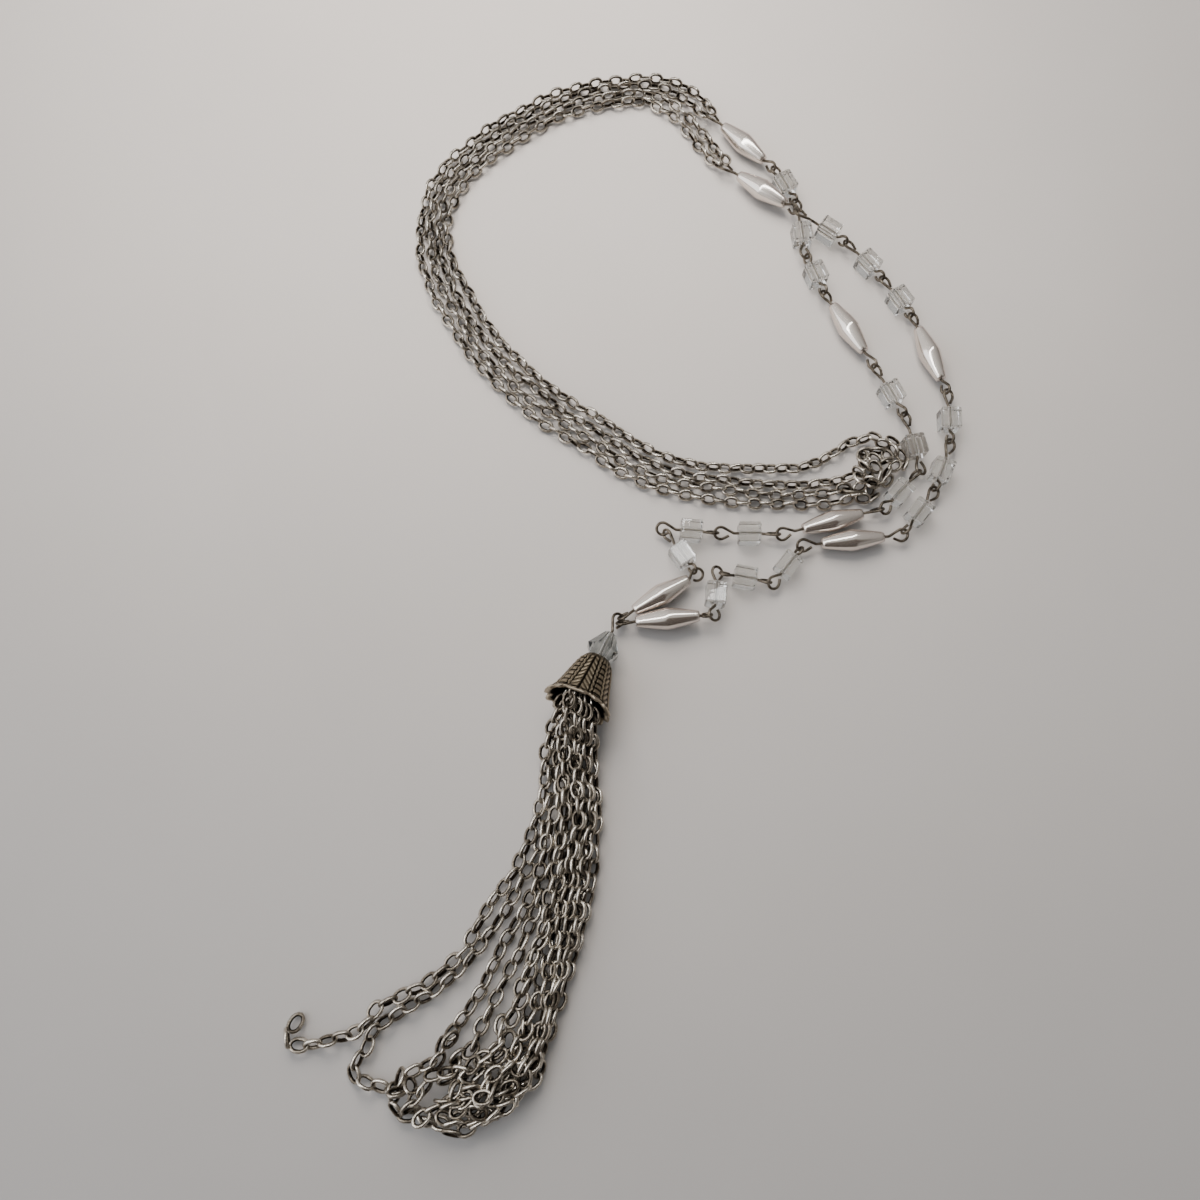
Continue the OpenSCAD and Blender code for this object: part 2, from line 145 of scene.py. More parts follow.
# x, y, z of each place where two pins are linked, which pin has the flat eye (0 the one that ends there),
# and the distance from there to the middle of the next bead
linksA = [
    (tasselEye.x - 0.5, tasselEye.y - 0.2, tasselEye.z + 0.15, 0, 14.2),
    (13.9, -14, 3.5, 0, 7), (4.8, -0.5, 2.75, 1, 7.9), (20.9, -1.8, 2.75, 1, 7.9),
    (38, -2.2, 3.1, 1, 14.6), (67.2, 5.5, 3.1, 1, 6.3), (78.2, 17.4, 2.75, 1, 6.8),
    (75.3, 33, 2.75, 0, 8.4), (67.8, 48.2, 3.1, 0, 15.2), (54.6, 72.4, 3.1, 0, 7.6),
    (49.2, 87, 2.75, 1, 6.4), (47.7, 104, 2.75, 0, 7.7), (41.8, 115.8, 3.1, 0, 14),
    (22.5, 135.8, 3.1, 0, 0)]
linksB = [
    (tasselEye.x - 1.1, tasselEye.y - 1.1, tasselEye.z + 0.15, 0, 14.5),
    (18.2, -25.4, 4.4, 1, 5.9), (19.6, -13.2, 2.75, 0, 7.7), (35, -16.1, 2.75, 1, 6.5),
    (43.6, -5.5, 3.1, 1, 13.8), (71.1, -2.5, 3.1, 0, 8.7), (81.2, 10.1, 2.75, 0, 7.2),
    (87.2, 24.5, 2.75, 0, 7.8), (88, 40, 3.1, 0, 13.9), (80, 64.9, 3.1, 0, 7.1),
    (72.6, 77.6, 2.75, 0, 7.3), (62.6, 89.7, 3.1, 0, 7.5), (47.8, 100, 4.4, 0, 13.8),
    (26, 117.2, 3.1, 0, 0)]

runHeight = 1.25
bundle = [  # x, y, distance between runs
    (0.5, 147.2, 2.8), (-10, 146, 2.8), (-21, 143.2, 2.8), (-31, 138.8, 2.8), (-40, 132.8, 2.9),
    (-49, 125.2, 2.8), (-56.4, 117.6, 2.8), (-61.2, 109, 2.8), (-63.6, 98, 2.8), (-62.4, 86.5, 3),
    (-58.2, 75.5, 3.2), (-52.4, 64.5, 3.1), (-46, 55, 3.2), (-38.6, 46.6, 3.3), (-30.6, 39.4, 3.3),
    (-22, 33, 3.3), (-13, 27, 3.3), (-4, 20.6, 3.3), (5, 16.4, 3.3), (14.4, 13.9, 3.2)]
outerStart = [(22.5, 138.4, 2.8), (20.6, 142, 1.6), (16.8, 145.8), (12, 149), (7, 151)]
secondStart = [(19.8, 136.9, 2.8), (17.4, 139.9, 1.6), (14.6, 143.2), (10.6, 145.9), (6, 147.9)]
thirdStart = [(26.1, 119.8, 2.8), (24.4, 123.4, 1.6), (20.8, 129), (17.2, 134.2), (13.4, 139.2), (9.2, 142.8),
              (5.6, 144.8)]
innerStart = [(23.5, 118.5, 2.8), (21.4, 121.4, 1.6), (18.4, 125.8), (15.4, 130.8), (12.2, 135.6), (8.6, 139),
              (4.4, 141.2)]
outerFold = [(23, 8), (32, 7), (41, 6.9), (48.6, 7), (53.4, 7.7), (57.4, 8.7), (60.8, 8.8), (64, 9.4),
             (66, 12), (68.4, 14.8), (71.2, 16.9), (73, 19.2), (72.6, 22), (70.2, 24.8), (66.8, 26.4),
             (62.6, 26.2), (58.4, 24.8), (53.8, 22), (48.6, 19.6), (43.4, 18), (34, 17.7), (24, 17.8)]
innerFold = [(22, 11.4), (30, 10.2), (38, 9.8), (46, 9.9), (51, 10.6), (55.4, 11.6), (59, 12.1), (61.8, 13.4),
             (62.9, 15.9), (61.8, 18.4), (61.6, 21.1), (64, 22.9), (66.9, 22.2, 1.8), (68.8, 20, 3.2),
             (67.4, 17.8, 4.1), (65.4, 20.2, 4.4), (62.6, 21.4, 4.6), (60.6, 19, 4.6), (62.4, 16.4, 4.8),
             (65.6, 15.2, 4.6), (66.4, 12.2, 4.2), (63.4, 11.2, 4.2), (60.6, 13.4, 4.2), (58.8, 15.8, 3.1),
             (56.2, 15.4, 1.5), (52.6, 13.9), (46, 12.9), (38, 12.8), (30, 13.2), (22, 14.6)]

low, mid, top = 1.5, 4.2, 6.6  # on the table, on other chains, on the pile
locks = [  # sideways and upward place in the mouth of the cap, then the points where the chain lies
    ((-4.6, -0.6), [(-27, -62, 3.4), (-27.8, -73, low), (-30.2, -83, low), (-36, -94, low), (-42, -103, low),
                    (-47.4, -111, low), (-54, -117.4, 2.4), (-61, -120.8, 3), (-67, -124, 3),
                    (-71, -128.6, 3.4), (-76, -131, low), (-82, -132, low), (-86.2, -133, low),
                    (-88.6, -131.8, low), (-88.4, -129.2, low), (-87, -128, low)]),
    ((-3.4, -3.2), [(-25, -62, 2.2), (-25.6, -73, low), (-28, -84, low), (-32.6, -95, low), (-38.6, -104, low),
                    (-45, -112.4, low), (-52, -119, low), (-59, -123.6, low), (-65.4, -127, low),
                    (-69, -130, low), (-69.4, -134, low), (-72.4, -138.6, low), (-68.6, -141.2, low),
                    (-62, -142.2, low)]),
    ((-2, 0.6), [(-23.4, -62, 5), (-23.4, -72, mid), (-25, -82, mid), (-28.4, -93, 3), (-33, -102.6, low),
                 (-38, -112, low), (-43, -121, low), (-49, -130, low), (-54, -136, low), (-59, -139.6, 3.2),
                 (-60.4, -142.6, mid)]),
    ((-0.6, -4.4), [(-21.4, -62, low), (-22.2, -76, low), (-24.4, -88, low), (-28.4, -101, low),
                    (-33, -111.6, low), (-38, -121, low), (-43.2, -131, low), (-48.6, -137.4, 2.6),
                    (-54, -141.6, mid), (-57.4, -145, mid)]),
    ((0.4, -1.4), [(-19.6, -62, 4.4), (-19.6, -78, mid), (-21.8, -92, mid), (-25.4, -104, 3.6), (-29, -113, mid),
                   (-32, -121, mid), (-36.6, -128, 3.6), (-39.6, -134, mid), (-44, -138, mid),
                   (-50.4, -140, mid)]),
    ((1.8, -4.2), [(-18.6, -62, low), (-18.8, -78, low), (-21, -92, low), (-24.6, -107, low), (-28, -118.6, low),
                   (-31.4, -128, low), (-34, -136, low), (-39, -142.4, low), (-46, -145.6, low)]),
    ((2.6, 1), [(-16.4, -62, 5.2), (-17, -78, mid), (-19.6, -95, mid), (-22.4, -111, mid), (-26, -123, mid),
                (-29.6, -133, mid), (-34.6, -140.6, mid), (-40.6, -141.6, top), (-46, -144.4, top)]),
    ((4, -3.2), [(-15, -62, low), (-15, -78, low), (-17.4, -92, low), (-20.8, -108, low), (-24.2, -120, low),
                 (-27.8, -131, low), (-32, -140, low), (-37.6, -146.4, low), (-46, -149, low)]),
    ((5, -0.8), [(-14.4, -62, 3.4), (-13.4, -77, low), (-14.4, -92, low), (-17.2, -106, low),
                 (-20.8, -118, low), (-24.4, -129, low), (-29, -138.4, low), (-34.6, -145, 2.6),
                 (-41, -150.2, low), (-48, -151.3, low), (-54, -150.6, low), (-58.4, -147, low),
                 (-61.4, -143, low)]),
    ((-0.4, 2.4), [(-19, -63, 6.2), (-18.4, -78, top), (-20.6, -94, mid), (-24, -110, mid), (-28, -122, mid),
                   (-32, -131, mid), (-36.4, -137.4, 5.4), (-42.4, -142.4, top), (-49, -145.6, mid)]),
    ((1.2, 0.8), [(-17.6, -63, 4.4), (-14.6, -78, mid), (-16.8, -94, mid), (-20, -109, mid), (-24, -122, mid),
                  (-28, -133.6, mid), (-33, -142, mid), (-40.4, -147, mid), (-50, -148.4, mid)]),
    ((-2.6, 3), [(-21.8, -63, 6), (-21.4, -78, 5.6), (-23.6, -92, mid), (-26.8, -105, mid), (-30.6, -116, mid),
                 (-34.4, -126, mid), (-38.6, -133.4, mid), (-45, -140.6, mid), (-53, -146.2, mid)])]


def laid(points):
    return [Vector(p if len(p) == 3 else (p[0], p[1], runHeight)) for p in points]


# How far the chains stray from their rows, in mm: in the heap past the two limits, and elsewhere
neckSlack = {"inHeap": lambda p: p.x > 55 and p.y < 40, "heapSway": 1.35, "sway": 0.36, "seed": 5}
tasselSlack = {"inHeap": lambda p: p.y < -124 and p.x > -62, "heapSway": 2.1, "sway": 0.5, "seed": 20}
slackSteps = {"heap": 2.1, "laid": 7, "rise": 1.1}  # mm between bends, and how far up one may go in a heap


# A route with the bends of a slack chain
def slack(points, given, number):
    chance, done = random.Random(given["seed"] + number), [points[0]]
    for one, two in zip(points, points[1:]):
        there = given["inHeap"](one) and given["inHeap"](two)
        steps = max(1, round((two - one).length / slackSteps["heap" if there else "laid"]))
        for k in range(1, steps + 1):
            wander = Vector((chance.uniform(-1, 1), chance.uniform(-1, 1),
                             chance.uniform(0, slackSteps["rise"]) if there else 0))
            done.append(one.lerp(two, k / steps) + given["heapSway" if there else "sway"] * wander)
    return done


# One run of the bundle: 1.5 is the outermost, -1.5 the innermost
def bundleRun(k):
    run = []
    for i, (x, y, apart) in enumerate(bundle):
        before, after = bundle[max(i - 1, 0)], bundle[min(i + 1, len(bundle) - 1)]
        along = Vector((after[0] - before[0], after[1] - before[1], 0)).normalized()
        run.append(Vector((x, y, runHeight)) + k * apart * Vector((along.y, -along.x, 0)))
    return run


neckRoutes = {
    "A": laid(outerStart) + bundleRun(1.5) + laid(outerFold) + bundleRun(-1.5)[::-1] + laid(innerStart)[::-1],
    "B": laid(secondStart) + bundleRun(0.5) + laid(innerFold) + bundleRun(-0.5)[::-1] + laid(thirdStart)[::-1]}
for number, (strand, route) in enumerate(neckRoutes.items()):
    neckRoutes[strand] = slack(route, neckSlack, number)
tasselRoutes = []
insideCap = ((6, 0.34), (0.5, 0.9))  # mm above the rim, and how far the chains have spread there
for number, (mouth, route) in enumerate(locks):
    spread = -mouth[0] * tasselAcross + mouth[1] * tasselUp
    tasselRoutes.append([tasselRim + above * tasselDir + share * spread for above, share in insideCap]
                        + slack(laid(route), tasselSlack, number))
print("routes laid out")


# Antiqued silver plate on drawn wire: grey metal, rubbed bright on the outside; the inner side of each link is
# darker, partly tarnish left there and partly painted shade
silver = {"bright": "#d6cec1", "dull": "#82796c", "dark": "#231c15", "roughness": 0.27, "darkRoughness": 0.6,
          "grainMm": 0.35, "stainMm": 2.2, "pitMm": 0.03}
agedSilver, tree, shader, output = newMaterial("antiquedSilverPlate")
place = addNode(tree, "ShaderNodeTexCoord").outputs["Object"]
# Painted shade: how far a point lies on the inner side of its link, together with the pins' even tarnish
inside = addNode(tree, "ShaderNodeAttribute", attribute_name="inside").outputs["Fac"]
tone = addNode(tree, "ShaderNodeAttribute", attribute_name="tone").outputs["Fac"]
grain = addNode(tree, "ShaderNodeTexNoise", {"Vector": place, "Scale": 1 / (silver["grainMm"] * mm), "Detail": 3})
stains = addNode(tree, "ShaderNodeTexNoise", {"Vector": place, "Scale": 1 / (silver["stainMm"] * mm), "Detail": 2})
# The darkening adds up grain, stains, random tone and that painted shade
dirtAndShade = addNode(tree, "ShaderNodeMath", {0: grain.outputs["Fac"], 1: 0.5, 2: inside}, operation="MULTIPLY_ADD")
dirtAndShade = addNode(tree, "ShaderNodeMath", {0: stains.outputs["Fac"], 1: 0.5, 2: dirtAndShade.outputs[0]},
               operation="MULTIPLY_ADD")
dirtAndShade = addNode(tree, "ShaderNodeMath", {0: tone, 1: 0.25, 2: dirtAndShade.outputs[0]}, operation="MULTIPLY_ADD")
# From bright silver to the dark of tarnish and of painted shade
rubbedAndShaded = addNode(tree, "ShaderNodeValToRGB", {"Fac": dirtAndShade.outputs[0]},
                 stops=[(0.45, toLinear(silver["bright"])), (1, toLinear(silver["dark"])),
                        (0.72, toLinear(silver["dull"]))])
bump = addNode(tree, "ShaderNodeBump", {"Height": grain.outputs["Fac"], "Distance": silver["pitMm"] * mm,
                                       "Strength": 0.5})
rough = addNode(tree, "ShaderNodeMapRange", {"Value": dirtAndShade.outputs[0], "From Min": 0.4, "From Max": 1.2,
                                            "To Min": silver["roughness"] - 0.06,
                                            "To Max": silver["darkRoughness"]})
tree.links.new(rubbedAndShaded.outputs["Color"], shader.inputs["Base Color"])
tree.links.new(rough.outputs["Result"], shader.inputs["Roughness"])
tree.links.new(bump.outputs["Normal"], shader.inputs["Normal"])
shader.inputs["Metallic"].default_value = 1

# Cast pewter with a bronze-coloured antique wash: dark in the recesses, worn pale on the ridges and the rim, and
# painted dark inside the cap as painted shade
bronze = {"ridge": "#9d907b", "field": "#51483a", "recess": "#0c0906", "worn": "#b5a996", "roughness": 0.38,
          "recessRoughness": 0.62, "grainMm": 0.5, "stainMm": 3, "pitMm": 0.06}
agedBronze, tree, shader, output = newMaterial("antiquedCastPewter")
place = addNode(tree, "ShaderNodeTexCoord").outputs["Object"]
height = addNode(tree, "ShaderNodeAttribute", attribute_name="relief").outputs["Fac"]
wear = addNode(tree, "ShaderNodeAttribute", attribute_name="wear").outputs["Fac"]
grain = addNode(tree, "ShaderNodeTexNoise", {"Vector": place, "Scale": 1 / (bronze["grainMm"] * mm), "Detail": 4})
stains = addNode(tree, "ShaderNodeTexNoise", {"Vector": place, "Scale": 1 / (bronze["stainMm"] * mm), "Detail": 3})
level = addNode(tree, "ShaderNodeMath", {0: grain.outputs["Fac"], 1: 0.3, 2: height}, operation="MULTIPLY_ADD")
level = addNode(tree, "ShaderNodeMath", {0: stains.outputs["Fac"], 1: 0.2, 2: level.outputs[0]},
                operation="MULTIPLY_ADD")
# The wash colour follows the relief attribute, which also carries the painted shade inside the cap
washAndShade = addNode(tree, "ShaderNodeValToRGB", {"Fac": level.outputs[0]},
                 stops=[(0.3, toLinear(bronze["recess"])), (1, toLinear(bronze["ridge"])),
                        (0.6, toLinear(bronze["field"]))])
mixed = addNode(tree, "ShaderNodeMix", data_type="RGBA")
tree.links.new(wear, mixed.inputs[0])
tree.links.new(washAndShade.outputs["Color"], mixed.inputs[6])
mixed.inputs[7].default_value = toLinear(bronze["worn"])
bump = addNode(tree, "ShaderNodeBump", {"Height": grain.outputs["Fac"], "Distance": bronze["pitMm"] * mm,
                                       "Strength": 0.6})
rough = addNode(tree, "ShaderNodeMapRange", {"Value": level.outputs[0], "From Min": 0.3, "From Max": 1,
                                            "To Min": bronze["recessRoughness"],
                                            "To Max": bronze["roughness"] - 0.06})
tree.links.new(mixed.outputs[2], shader.inputs["Base Color"])
tree.links.new(rough.outputs["Result"], shader.inputs["Roughness"])
tree.links.new(bump.outputs["Normal"], shader.inputs["Normal"])
shader.inputs["Metallic"].default_value = 1

# Pearl-coated acrylic: a milky body under a lustre coat that turns mauve at a grazing angle
pearl = {"length": 17.4, "width": 6.2, "tip": 2.9, "hole": 1.3, "chamfer": 0.12, "tipChamfer": 0.1,
         "fullness": 1.26, "sides": 48, "steps": 16, "body": "#e9e1d8", "edge": "#bfaea9", "swirlMm": 5,
         "roughness": 0.15, "coatRoughness": 0.11}
pearlCoat, tree, shader, output = newMaterial("pearlCoatedAcrylic")
place = addNode(tree, "ShaderNodeTexCoord").outputs["Object"]
swirl = addNode(tree, "ShaderNodeTexNoise", {"Vector": place, "Scale": 1 / (pearl["swirlMm"] * mm), "Detail": 2})
facing = addNode(tree, "ShaderNodeLayerWeight", {"Blend": 0.35})
turnedAway = addNode(tree, "ShaderNodeMath", {0: swirl.outputs["Fac"], 1: 0.25, 2: facing.outputs["Facing"]},
                     operation="MULTIPLY_ADD")
coatColour = addNode(tree, "ShaderNodeValToRGB", {"Fac": turnedAway.outputs[0]},
                     stops=[(0.2, toLinear(pearl["body"])), (1, toLinear(pearl["edge"]))])
tree.links.new(coatColour.outputs["Color"], shader.inputs["Base Color"])
shader.inputs["Metallic"].default_value = 0.9
shader.inputs["Roughness"].default_value = pearl["roughness"]
shader.inputs["Coat Weight"].default_value = 0.6
shader.inputs["Coat Roughness"].default_value = pearl["coatRoughness"]

# Pressed and cut glass: clear and bright edged, and a lamp shines through it so that its shadow is pale
glass = {"ior": 1.47, "transmission": 0.98, "rippleMm": 1.6, "rippleDepthMm": 0.03}


def glassMaterial(name, tint, roughness, shade):
    material, tree, shader, output = newMaterial(name)
    place = addNode(tree, "ShaderNodeTexCoord").outputs["Object"]
    flow = addNode(tree, "ShaderNodeTexNoise", {"Vector": place, "Scale": 1 / (glass["rippleMm"] * mm), "Detail": 1})
    bump = addNode(tree, "ShaderNodeBump", {"Height": flow.outputs["Fac"], "Distance": glass["rippleDepthMm"] * mm,
                                           "Strength": 0.3})
    tree.links.new(bump.outputs["Normal"], shader.inputs["Normal"])
    shader.inputs["Base Color"].default_value = toLinear(tint)
    shader.inputs["Roughness"].default_value = roughness
    shader.inputs["IOR"].default_value = glass["ior"]
    shader.inputs["Transmission Weight"].default_value = glass["transmission"]
    lampRay = addNode(tree, "ShaderNodeLightPath").outputs["Is Shadow Ray"]
    through = addNode(tree, "ShaderNodeBsdfTransparent", {"Color": toLinear(shade)})
    both = addNode(tree, "ShaderNodeMixShader", {0: lampRay, 1: shader.outputs["BSDF"], 2: through.outputs[0]})
    tree.links.new(both.outputs[0], output.inputs["Surface"])
    return material


# Pressed glass cubes: clear, with a frosted drilled hole, and a cut bicone in pale steel grey
clearGlass = glassMaterial("pressedClearGlass", "#ecebe8", 0.02, "#dddcda")
drilledGlass = glassMaterial("drilledFrostedGlass", "#fbf9f4", 0.3, "#dddcda")
smokeGlass = glassMaterial("cutSteelGreyGlass", "#b7b9b7", 0.02, "#bcbebe")
print("materials made")


# A named input or output of a tree, with the value that it starts from
def socketed(tree, name, kind, inOut="INPUT", default=None):
    socket = tree.interface.new_socket(name=name, in_out=inOut, socket_type=kind)
    if default is not None:
        socket.default_value = default
    return socket


# Chains: oval links along a route
linkTree = bpy.data.node_groups.new("chainLinks", "GeometryNodeTree")
socketed(linkTree, "Geometry", "NodeSocketGeometry")
socketed(linkTree, "Geometry", "NodeSocketGeometry", "OUTPUT")
for name, default in (("Pitch", 3.25 * mm), ("Link Length", 4.8 * mm), ("Link Width", 3.5 * mm),
                      ("Wire", 0.9 * mm), ("Lean", 0.0), ("Lean Spread", 2.6), ("Clearance", 0.5 * mm)):
    socketed(linkTree, name, "NodeSocketFloat", default=default)
socketed(linkTree, "Seed", "NodeSocketInt", default=1)
socketed(linkTree, "Metal", "NodeSocketMaterial")
given = addNode(linkTree, "NodeGroupInput").outputs

# One link: a ring of wire, drawn out to an oval
ring = addNode(linkTree, "GeometryNodeCurvePrimitiveCircle", {"Resolution": 14, "Radius": 1.0})
halfWidth = addNode(linkTree, "ShaderNodeMath", {0: given["Link Width"], 1: given["Wire"]}, operation="SUBTRACT")
halfWidth = addNode(linkTree, "ShaderNodeMath", {0: halfWidth.outputs[0], 1: 0.5}, operation="MULTIPLY")
halfLength = addNode(linkTree, "ShaderNodeMath", {0: given["Link Length"], 1: given["Wire"]},
                     operation="SUBTRACT")
halfLength = addNode(linkTree, "ShaderNodeMath", {0: halfLength.outputs[0], 1: 0.5}, operation="MULTIPLY")
straight = addNode(linkTree, "ShaderNodeMath", {0: halfLength.outputs[0], 1: halfWidth.outputs[0]},
                   operation="SUBTRACT")
spot = addNode(linkTree, "ShaderNodeSeparateXYZ", {0: addNode(linkTree, "GeometryNodeInputPosition").outputs[0]})
side = addNode(linkTree, "ShaderNodeMath", {0: spot.outputs["X"]}, operation="SIGN")
bow = addNode(linkTree, "ShaderNodeMath", {0: straight.outputs[0], 1: 0.7, 2: halfWidth.outputs[0]},
              operation="MULTIPLY_ADD")
roundX = addNode(linkTree, "ShaderNodeMath", {0: spot.outputs["X"], 1: bow.outputs[0]}, operation="MULTIPLY")
flat = addNode(linkTree, "ShaderNodeMath", {0: straight.outputs[0], 1: 0.3}, operation="MULTIPLY")
ovalX = addNode(linkTree, "ShaderNodeMath", {0: side.outputs[0], 1: flat.outputs[0], 2: roundX.outputs[0]},
                operation="MULTIPLY_ADD")
ovalY = addNode(linkTree, "ShaderNodeMath", {0: spot.outputs["Y"], 1: halfWidth.outputs[0]},
                operation="MULTIPLY")
oval = addNode(linkTree, "ShaderNodeCombineXYZ", {"X": ovalX.outputs[0], "Y": ovalY.outputs[0]})
bent = addNode(linkTree, "GeometryNodeSetPosition", {"Geometry": ring.outputs["Curve"],
                                                    "Position": oval.outputs[0]})
wireRadius = addNode(linkTree, "ShaderNodeMath", {0: given["Wire"], 1: 0.5}, operation="MULTIPLY")
section = addNode(linkTree, "GeometryNodeCurvePrimitiveCircle", {"Resolution": 6, "Radius": wireRadius.outputs[0]})
link = addNode(linkTree, "GeometryNodeCurveToMesh", {"Curve": bent.outputs[0],
                                                    "Profile Curve": section.outputs["Curve"]})
link = addNode(linkTree, "GeometryNodeSetShadeSmooth", {0: link.outputs[0]})
# Painted shade: the side of the wire that faces the middle of the link is marked darker, on top of its tarnish
outward = addNode(linkTree, "ShaderNodeVectorMath",
                  {0: addNode(linkTree, "GeometryNodeInputPosition").outputs[0]}, operation="NORMALIZE")
facingOut = addNode(linkTree, "ShaderNodeVectorMath",
                    {0: addNode(linkTree, "GeometryNodeInputNormal").outputs[0], 1: outward.outputs[0]},
                    operation="DOT_PRODUCT")
innerTarnishAndShade = addNode(linkTree, "ShaderNodeMapRange", {"Value": facingOut.outputs["Value"], "From Min": 0.9,
                                                 "From Max": -0.9, "To Min": 0.0, "To Max": 0.62})
link = addNode(linkTree, "GeometryNodeStoreNamedAttribute",
               {"Geometry": link.outputs[0], "Name": "inside", "Value": innerTarnishAndShade.outputs["Result"]},
               data_type="FLOAT", domain="POINT")

# The route, a link at every pitch, each turned a quarter from the one before
path = addNode(linkTree, "GeometryNodeMeshToCurve", {"Mesh": given["Geometry"]})
path = addNode(linkTree, "GeometryNodeCurveSplineType", {"Curve": path.outputs[0]}, spline_type="CATMULL_ROM")
path = addNode(linkTree, "GeometryNodeResampleCurve", {"Curve": path.outputs[0], "Length": given["Pitch"]},
               mode="LENGTH")
along = addNode(linkTree, "GeometryNodeInputTangent")
facingUp = addNode(linkTree, "FunctionNodeAxesToRotation",
                   {"Primary Axis": along.outputs[0], "Secondary Axis": (0, 0, 1)},
                   primary_axis="X", secondary_axis="Z")
count = addNode(linkTree, "GeometryNodeSplineParameter").outputs["Index"]
odd = addNode(linkTree, "ShaderNodeMath", {0: count, 1: 2.0}, operation="MODULO")
quarter = addNode(linkTree, "ShaderNodeMath", {0: odd.outputs[0], 1: math.pi / 2, 2: given["Lean"]},
                  operation="MULTIPLY_ADD")
sway = addNode(linkTree, "ShaderNodeTexNoise",
               {"Vector": addNode(linkTree, "GeometryNodeInputPosition").outputs[0], "Scale": 60.0, "Detail": 1.0})
swayed = addNode(linkTree, "ShaderNodeMath", {0: sway.outputs["Fac"], 1: 0.5}, operation="SUBTRACT")
swayed = addNode(linkTree, "ShaderNodeMath", {0: swayed.outputs[0], 1: given["Lean Spread"]},
                 operation="MULTIPLY")
roll = addNode(linkTree, "ShaderNodeMath", {0: quarter.outputs[0], 1: swayed.outputs[0]}, operation="ADD")
loose = addNode(linkTree, "FunctionNodeRandomValue",
                {0: (-0.16, -0.1, -0.16), 1: (0.16, 0.1, 0.16), "Seed": given["Seed"]}, data_type="FLOAT_VECTOR")
looseTurn = addNode(linkTree, "ShaderNodeVectorMath",
                    {0: loose.outputs[0], 1: addNode(linkTree, "ShaderNodeCombineXYZ",
                                                     {"X": roll.outputs[0]}).outputs[0]}, operation="ADD")
turnBy = addNode(linkTree, "FunctionNodeEulerToRotation", {0: looseTurn.outputs[0]})
facingRight = addNode(linkTree, "FunctionNodeRotateRotation",
                      {"Rotation": facingUp.outputs[0], "Rotate By": turnBy.outputs[0]}, rotation_space="LOCAL")
# A link that stands on its side is lifted clear of the table
stands = addNode(linkTree, "ShaderNodeMath", {0: roll.outputs[0]}, operation="SINE")
stands = addNode(linkTree, "ShaderNodeMath", {0: stands.outputs[0]}, operation="ABSOLUTE")
reach = addNode(linkTree, "ShaderNodeMath", {0: stands.outputs[0], 1: halfWidth.outputs[0],
                                            2: wireRadius.outputs[0]}, operation="MULTIPLY_ADD")
reach = addNode(linkTree, "ShaderNodeMath", {0: reach.outputs[0], 1: given["Clearance"]}, operation="ADD")
spot = addNode(linkTree, "ShaderNodeSeparateXYZ", {0: addNode(linkTree, "GeometryNodeInputPosition").outputs[0]})
height = addNode(linkTree, "ShaderNodeMath", {0: spot.outputs["Z"], 1: reach.outputs[0]}, operation="MAXIMUM")
lifted = addNode(linkTree, "ShaderNodeCombineXYZ", {"X": spot.outputs["X"], "Y": spot.outputs["Y"],
                                                   "Z": height.outputs[0]})
points = addNode(linkTree, "GeometryNodeSetPosition", {"Geometry": path.outputs[0], "Position": lifted.outputs[0]})
links = addNode(linkTree, "GeometryNodeInstanceOnPoints",
                {"Points": points.outputs[0], "Instance": link.outputs[0], "Rotation": facingRight.outputs[0]})
shade = addNode(linkTree, "FunctionNodeRandomValue", {0: (-0.5, 0, 0), 1: (0.5, 1, 1), "Seed": 7},
                data_type="FLOAT_VECTOR")
shadeX = addNode(linkTree, "ShaderNodeSeparateXYZ", {0: shade.outputs[0]})
links = addNode(linkTree, "GeometryNodeStoreNamedAttribute",
                {"Geometry": links.outputs[0], "Name": "tone", "Value": shadeX.outputs["X"]},
                data_type="FLOAT", domain="INSTANCE")
links = addNode(linkTree, "GeometryNodeRealizeInstances", {0: links.outputs[0]})
links = addNode(linkTree, "GeometryNodeSetMaterial", {"Geometry": links.outputs[0], "Material": given["Metal"]})
addNode(linkTree, "NodeGroupOutput", {0: links.outputs[0]})

# Wire bent along a route, for the eye pins
wireTree = bpy.data.node_groups.new("bentWire", "GeometryNodeTree")
socketed(wireTree, "Geometry", "NodeSocketGeometry")
socketed(wireTree, "Geometry", "NodeSocketGeometry", "OUTPUT")
socketed(wireTree, "Wire", "NodeSocketFloat", default=0.8 * mm)
socketed(wireTree, "Shade", "NodeSocketFloat", default=0.34)
socketed(wireTree, "Metal", "NodeSocketMaterial")
given = addNode(wireTree, "NodeGroupInput").outputs
wireRadius = addNode(wireTree, "ShaderNodeMath", {0: given["Wire"], 1: 0.5}, operation="MULTIPLY")
section = addNode(wireTree, "GeometryNodeCurvePrimitiveCircle", {"Resolution": 10, "Radius": wireRadius.outputs[0]})
path = addNode(wireTree, "GeometryNodeMeshToCurve", {"Mesh": given["Geometry"]})
wires = addNode(wireTree, "GeometryNodeCurveToMesh", {"Curve": path.outputs[0],
                                                     "Profile Curve": section.outputs["Curve"],
                                                     "Fill Caps": True})
wires = addNode(wireTree, "GeometryNodeSetShadeSmooth", {0: wires.outputs[0]})
# The pins' even tarnish goes into the attribute that carries the links' painted shade
wires = addNode(wireTree, "GeometryNodeStoreNamedAttribute",
                {"Geometry": wires.outputs[0], "Name": "inside", "Value": given["Shade"]},
                data_type="FLOAT", domain="POINT")
wires = addNode(wireTree, "GeometryNodeRealizeInstances", {0: wires.outputs[0]})
wires = addNode(wireTree, "GeometryNodeSetMaterial", {"Geometry": wires.outputs[0], "Material": given["Metal"]})
addNode(wireTree, "NodeGroupOutput", {0: wires.outputs[0]})


